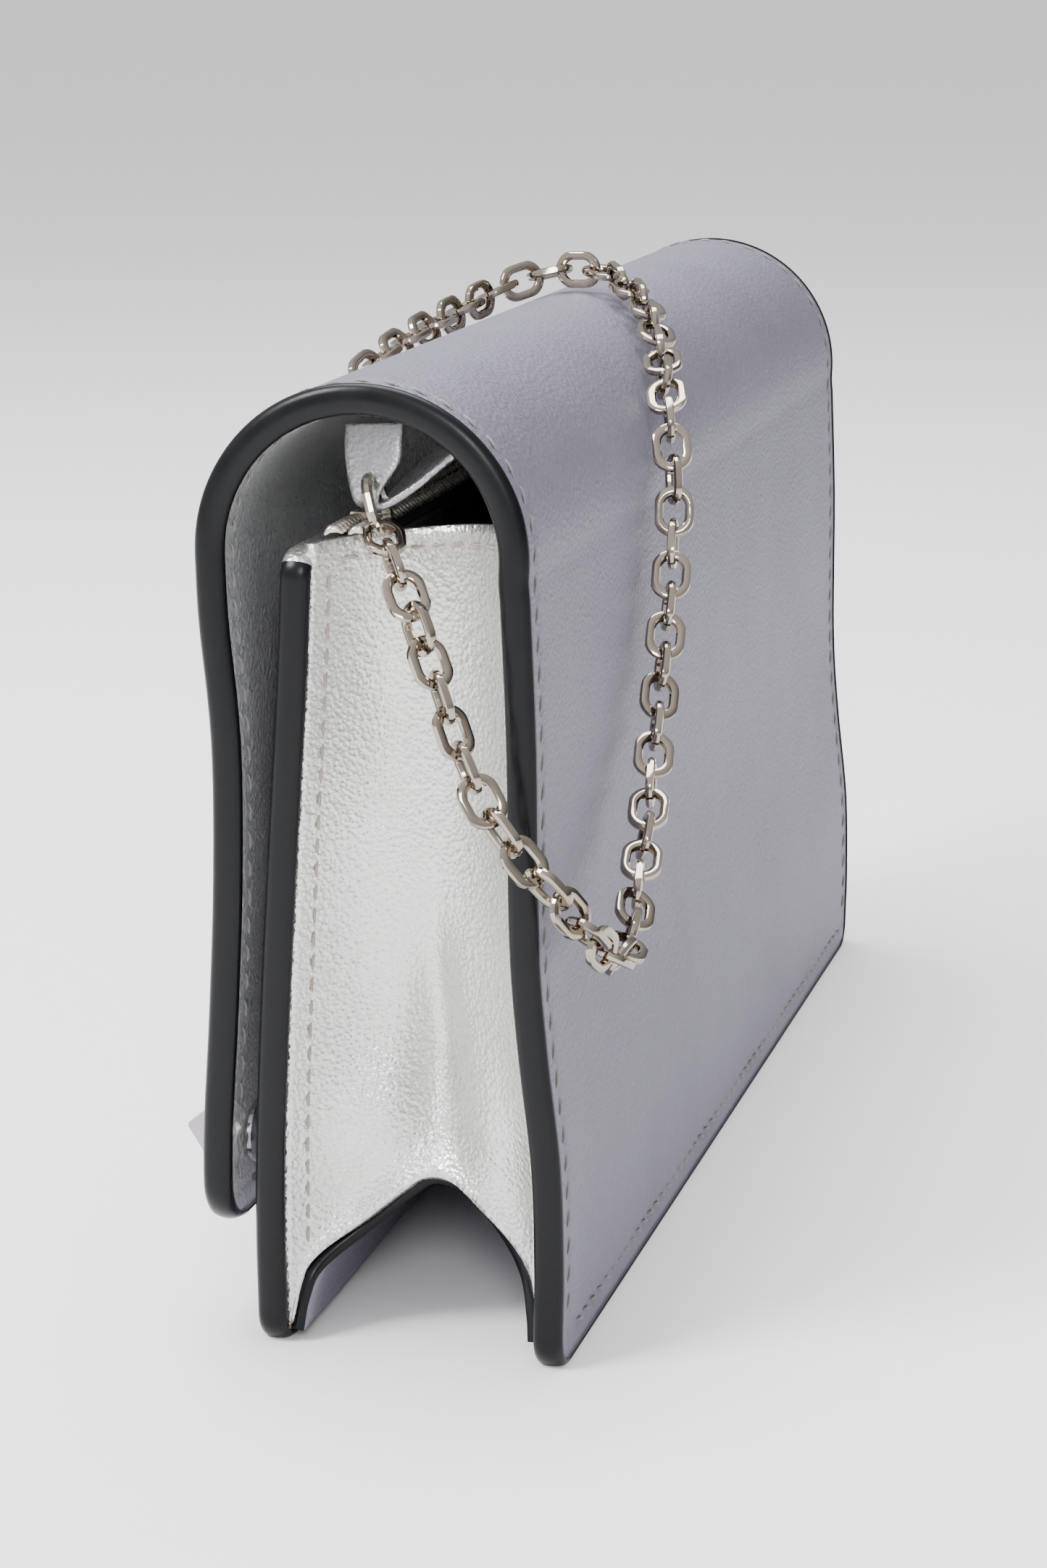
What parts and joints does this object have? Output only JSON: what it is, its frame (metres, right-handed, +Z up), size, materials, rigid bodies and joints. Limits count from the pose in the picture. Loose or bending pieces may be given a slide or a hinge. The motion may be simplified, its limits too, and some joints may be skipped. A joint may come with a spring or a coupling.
{
  "type": "chain wallet",
  "caption": "Slim metallic leather wallet with a rolled top flap, folded gussets, a zipped pocket, corner snap studs and a cable chain between two end tabs.",
  "frame": {"origin": "on the surface the wallet stands on, under the middle of its box without the chain", "axes": "+X along the wallet, -Y towards the flap's front, +Z up"},
  "size_m": [0.212, 0.0565, 0.1198],
  "materials": {
    "silver_leather": "satin metallic silver leather with a fine grain, near-black painted edges",
    "pale_lining": "smooth silver leather lining",
    "black_lining": "black woven lining",
    "board": "brown fibre stiffener",
    "zip_tape": "black woven zip tape",
    "gunmetal_coil": "gunmetal zip coil",
    "bright_metal": "polished pale metal",
    "chain_metal": "polished pale gold chain"
  },
  "bodies": {
    "back_shell": {"shell_leather": "silver_leather", "shell_stiffener": "board", "shell_lining": "pale_lining", "gusset_right": "silver_leather", "gusset_left": "silver_leather", "bottom_fold": "silver_leather", "card_slot_upper": "black_lining", "card_slot_middle": "black_lining", "card_slot_lower": "black_lining", "tab_right": "silver_leather", "tab_left": "silver_leather", "end_link_right": "chain_metal", "end_link_left": "chain_metal", "chain_loop": "chain_metal", "chain_return": "chain_metal"},
    "front_pocket": {"front_leather": "silver_leather", "front_stiffener": "board", "front_lining": "black_lining", "pocket_divider": "black_lining", "zip_tape_front": "zip_tape", "zip_tape_rear": "zip_tape", "zip_coil_front": "gunmetal_coil", "zip_coil_rear": "gunmetal_coil", "zip_stop_right": "bright_metal", "zip_stop_left": "bright_metal", "snap_ball_right": "bright_metal", "snap_ball_left": "bright_metal", "snap_rivet_right": "bright_metal", "snap_rivet_left": "bright_metal"},
    "zip_slider": {"zip_slider": "bright_metal"},
    "zip_pull": {"zip_pull": "bright_metal"},
    "flap": {"flap_leather": "silver_leather", "flap_stiffener": "board", "flap_lining": "pale_lining", "stud_cap_right": "bright_metal", "stud_cap_left": "bright_metal", "snap_socket_right": "bright_metal", "snap_socket_left": "bright_metal", "chain_swag": "chain_metal"}
  },
  "joints": [
    {"name": "flap_hinge", "type": "hinge", "parent": "back_shell", "child": "flap", "pos_m": [0, -0.01896, 0.0948], "axis": [-1, 0, 0], "range_deg": [0, 105]},
    {"name": "pocket_squeeze", "type": "slide", "parent": "back_shell", "child": "front_pocket", "axis": [0, 1, 0], "range_m": [0, 0.005], "deforming": ["gusset_right", "gusset_left", "bottom_fold"]},
    {"name": "zip_slide", "type": "slide", "parent": "front_pocket", "child": "zip_slider", "axis": [1, 0, 0], "range_m": [0, 0.125]},
    {"name": "zip_pull_swing", "type": "hinge", "parent": "zip_slider", "child": "zip_pull", "pos_m": [-0.068, -0.00196, 0.09998], "axis": [0, -1, 0], "range_deg": [0, 40]}
  ]
}
